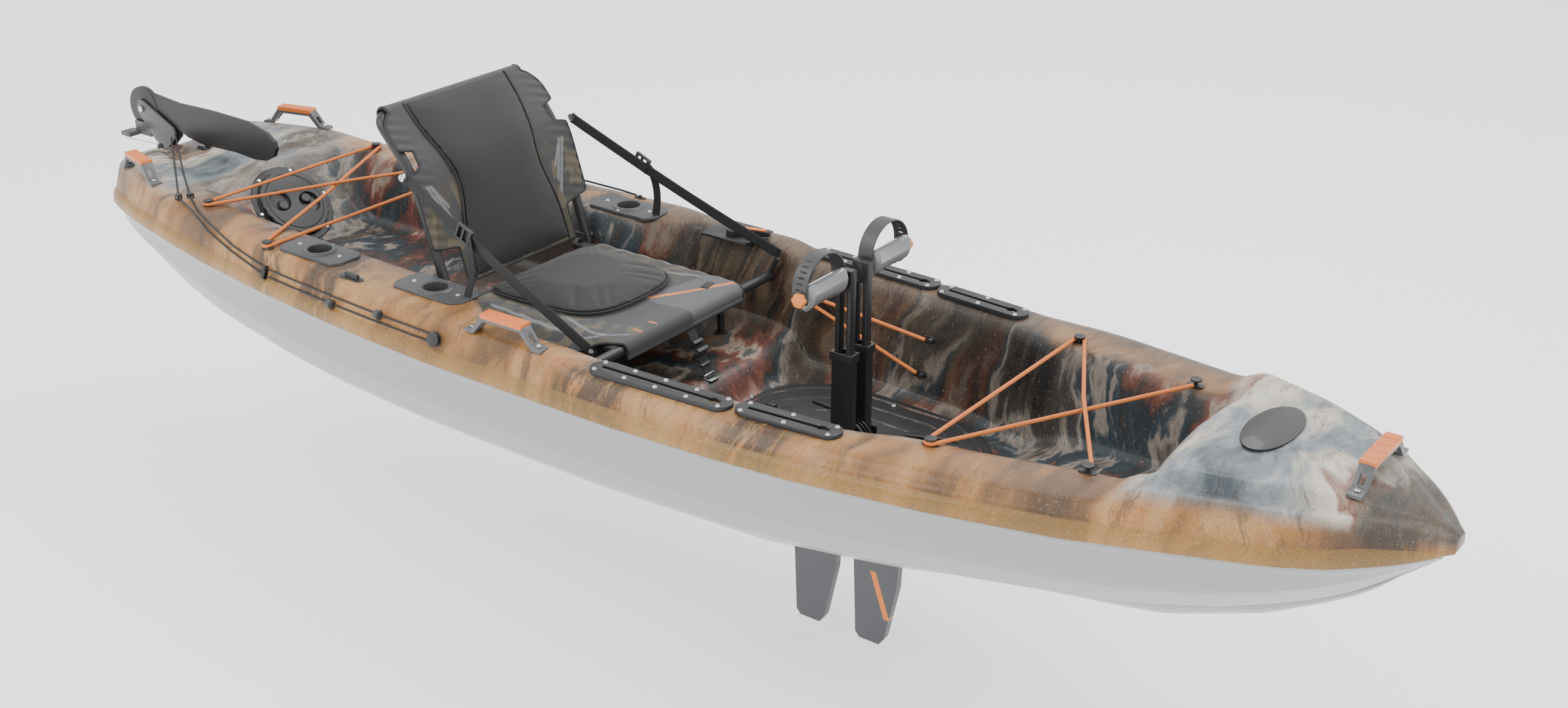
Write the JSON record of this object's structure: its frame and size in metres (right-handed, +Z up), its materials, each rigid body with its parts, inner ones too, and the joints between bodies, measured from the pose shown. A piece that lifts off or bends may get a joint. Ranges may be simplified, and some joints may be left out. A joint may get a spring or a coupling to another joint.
{
  "type": "pedal fishing kayak",
  "caption": "Sit-on-top fishing kayak with a framed folding seat, a push-pedal fin drive and a flip-up rudder.",
  "frame": {"origin": "on the flat of the keel, on the centreline, amidships", "axes": "+X towards the bow, +Y to port, +Z up"},
  "size_m": [3.382, 0.864, 0.994],
  "materials": {
    "hull_grey": "smooth thermoformed sheet, light grey",
    "deck_camo": "thermoformed sheet with a marbled ochre, slate and rust pattern",
    "black_moulding": "fine-grained black moulding",
    "dark_moulding": "fine-grained charcoal moulding",
    "grey_moulding": "satin grey moulding",
    "orange_moulding": "satin orange moulding",
    "seal_rubber": "matt black rubber",
    "orange_bungee": "braided sheath",
    "black_cord": "braided sheath",
    "steel": "bright stainless steel",
    "black_tube": "black powder coat on aluminium tube",
    "seat_fabric": "charcoal woven cloth with printed panels",
    "pad_fabric": "smooth black stretch cloth over foam",
    "webbing": "ribbed black webbing"
  },
  "bodies": {
    "boat": {"hull_shell": "hull_grey", "deck_shell": "deck_camo", "drive_well": "black_moulding", "drive_plate": "black_moulding", "emblem_plate": "black_moulding", "hatch_rim": "black_moulding", "rod_holders": "dark_moulding", "gear_tracks": "dark_moulding", "handle_bow": "grey_moulding", "handle_stbd": "grey_moulding", "paddle_keeper": "black_cord", "handle_stern_stbd": "grey_moulding", "handle_stern_port": "grey_moulding", "handle_grips": "orange_moulding", "deck_screws": "steel", "bow_bungee": "orange_bungee", "stern_bungee": "orange_bungee", "side_bungee": "orange_bungee", "bungee_anchors": "black_moulding", "rudder_bracket": "dark_moulding", "rudder_pintle": "steel", "rudder_cradle": "black_moulding", "lift_line": "black_cord", "line_fittings": "black_moulding", "steering_cables": "steel", "steering_plate": "dark_moulding", "seat_frame": "black_tube", "seat_sling": "seat_fabric", "seat_pad": "pad_fabric", "hinge_pins": "steel", "back_straps": "webbing", "floor_strap": "webbing", "drive_spine": "black_moulding", "pedal_shaft": "steel", "fin_shaft": "steel"},
    "hatch_carrier": {"hatch_seal": "seal_rubber"},
    "hatch_cover": {"hatch_lid": "black_moulding"},
    "lever": {"steering_lever": "dark_moulding", "lever_inlay": "orange_moulding"},
    "rudder_head": {"rudder_head": "grey_moulding", "blade_pin": "steel"},
    "rudder_blade": {"rudder_blade": "black_moulding"},
    "toggle_aft": {"toggle_aft": "dark_moulding"},
    "toggle_fwd": {"toggle_fwd": "dark_moulding"},
    "backrest": {"back_frame": "black_tube", "back_sling": "seat_fabric", "back_pad": "pad_fabric"},
    "arm_stbd": {"mast_stbd": "black_moulding"},
    "arm_port": {"mast_port": "black_moulding"},
    "bar_stbd": {"pedal_bar_stbd": "black_moulding"},
    "bar_port": {"pedal_bar_port": "black_moulding"},
    "pedal_stbd": {"pedal_stbd": "grey_moulding", "foot_strap_stbd": "dark_moulding"},
    "pedal_port": {"pedal_port": "grey_moulding", "foot_strap_port": "dark_moulding"},
    "knob_stbd": {"lock_knobs_stbd": "orange_moulding"},
    "knob_port": {"lock_knobs_port": "orange_moulding"},
    "fin_front": {"fin_front": "grey_moulding"},
    "fin_rear": {"fin_rear": "grey_moulding"}
  },
  "joints": [
    {"name": "hatch_lift", "type": "slide", "parent": "boat", "child": "hatch_carrier", "axis": [0.7139, 0, 0.7003], "range_m": [0, 0.045]},
    {"name": "hatch_twist", "type": "hinge", "parent": "hatch_carrier", "child": "hatch_cover", "pos_m": [-1.2075, 0, 0.273], "axis": [0.7139, 0, 0.7003], "range_deg": [0, 60]},
    {"name": "rudder_steer", "type": "hinge", "parent": "boat", "child": "rudder_head", "pos_m": [-1.652, 0, 0.31], "axis": [0, 0, 1], "range_deg": [-28, 28], "deforming": ["steering_cables", "lift_line"]},
    {"name": "lever_turn", "type": "hinge", "parent": "boat", "child": "lever", "pos_m": [-0.121, 0.328, 0.35], "axis": [0, 0, 1], "range_deg": [-16, 16]},
    {"name": "blade_flip", "type": "hinge", "parent": "rudder_head", "child": "rudder_blade", "pos_m": [-1.728, 0, 0.42], "axis": [0, 1, 0], "range_deg": [-255, 0]},
    {"name": "toggle_aft_slide", "type": "slide", "parent": "boat", "child": "toggle_aft", "axis": [-0.9967, 0.0817, 0], "range_m": [0, 0.1115]},
    {"name": "toggle_fwd_slide", "type": "slide", "parent": "boat", "child": "toggle_fwd", "axis": [0.9992, -0.0402, 0], "range_m": [0, 0.1115]},
    {"name": "backrest_fold", "type": "hinge", "parent": "boat", "child": "backrest", "pos_m": [-0.462, 0, 0.3], "axis": [0, 1, 0], "range_deg": [0, 36], "deforming": ["back_straps"]},
    {"name": "arm_stbd_swing", "type": "hinge", "parent": "boat", "child": "arm_stbd", "pos_m": [0.415, -0.028, 0.138], "axis": [0, 1, 0], "range_deg": [-30, 30]},
    {"name": "arm_port_swing", "type": "hinge", "parent": "boat", "child": "arm_port", "pos_m": [0.415, 0.028, 0.138], "axis": [0, 1, 0], "range_deg": [-30, 30]},
    {"name": "bar_stbd_reach", "type": "slide", "parent": "arm_stbd", "child": "bar_stbd", "axis": [0, 0, 1], "range_m": [-0.015, 0.045]},
    {"name": "bar_port_reach", "type": "slide", "parent": "arm_port", "child": "bar_port", "axis": [0, 0, 1], "range_m": [-0.015, 0.045]},
    {"name": "pedal_stbd_tilt", "type": "hinge", "parent": "bar_stbd", "child": "pedal_stbd", "pos_m": [0.415, -0.109, 0.496], "axis": [0, 1, 0], "range_deg": [-25, 25]},
    {"name": "pedal_port_tilt", "type": "hinge", "parent": "bar_port", "child": "pedal_port", "pos_m": [0.415, 0.109, 0.496], "axis": [0, 1, 0], "range_deg": [-25, 25]},
    {"name": "knob_stbd_turn", "type": "hinge", "parent": "bar_stbd", "child": "knob_stbd", "pos_m": [0.415, -0.182, 0.496], "axis": [0, -1, 0], "range_deg": [0, 90]},
    {"name": "knob_port_turn", "type": "hinge", "parent": "bar_port", "child": "knob_port", "pos_m": [0.415, 0.182, 0.496], "axis": [0, 1, 0], "range_deg": [0, 90]},
    {"name": "fin_front_swing", "type": "hinge", "parent": "boat", "child": "fin_front", "pos_m": [0.489, 0, -0.022], "axis": [1, 0, 0], "range_deg": [-75, 75]},
    {"name": "fin_rear_swing", "type": "hinge", "parent": "boat", "child": "fin_rear", "pos_m": [0.341, 0, -0.022], "axis": [1, 0, 0], "range_deg": [-75, 75]}
  ],
  "couplings": [
    {"joint": "lever_turn", "follows": "rudder_steer", "ratio": 0.55},
    {"joint": "toggle_aft_slide", "follows": "blade_flip", "m_per_rad": -0.025},
    {"joint": "toggle_fwd_slide", "follows": "blade_flip", "m_per_rad": -0.025},
    {"joint": "arm_port_swing", "follows": "arm_stbd_swing", "ratio": -1},
    {"joint": "fin_front_swing", "follows": "arm_stbd_swing", "ratio": 2.5},
    {"joint": "fin_rear_swing", "follows": "arm_stbd_swing", "ratio": -2.5}
  ]
}
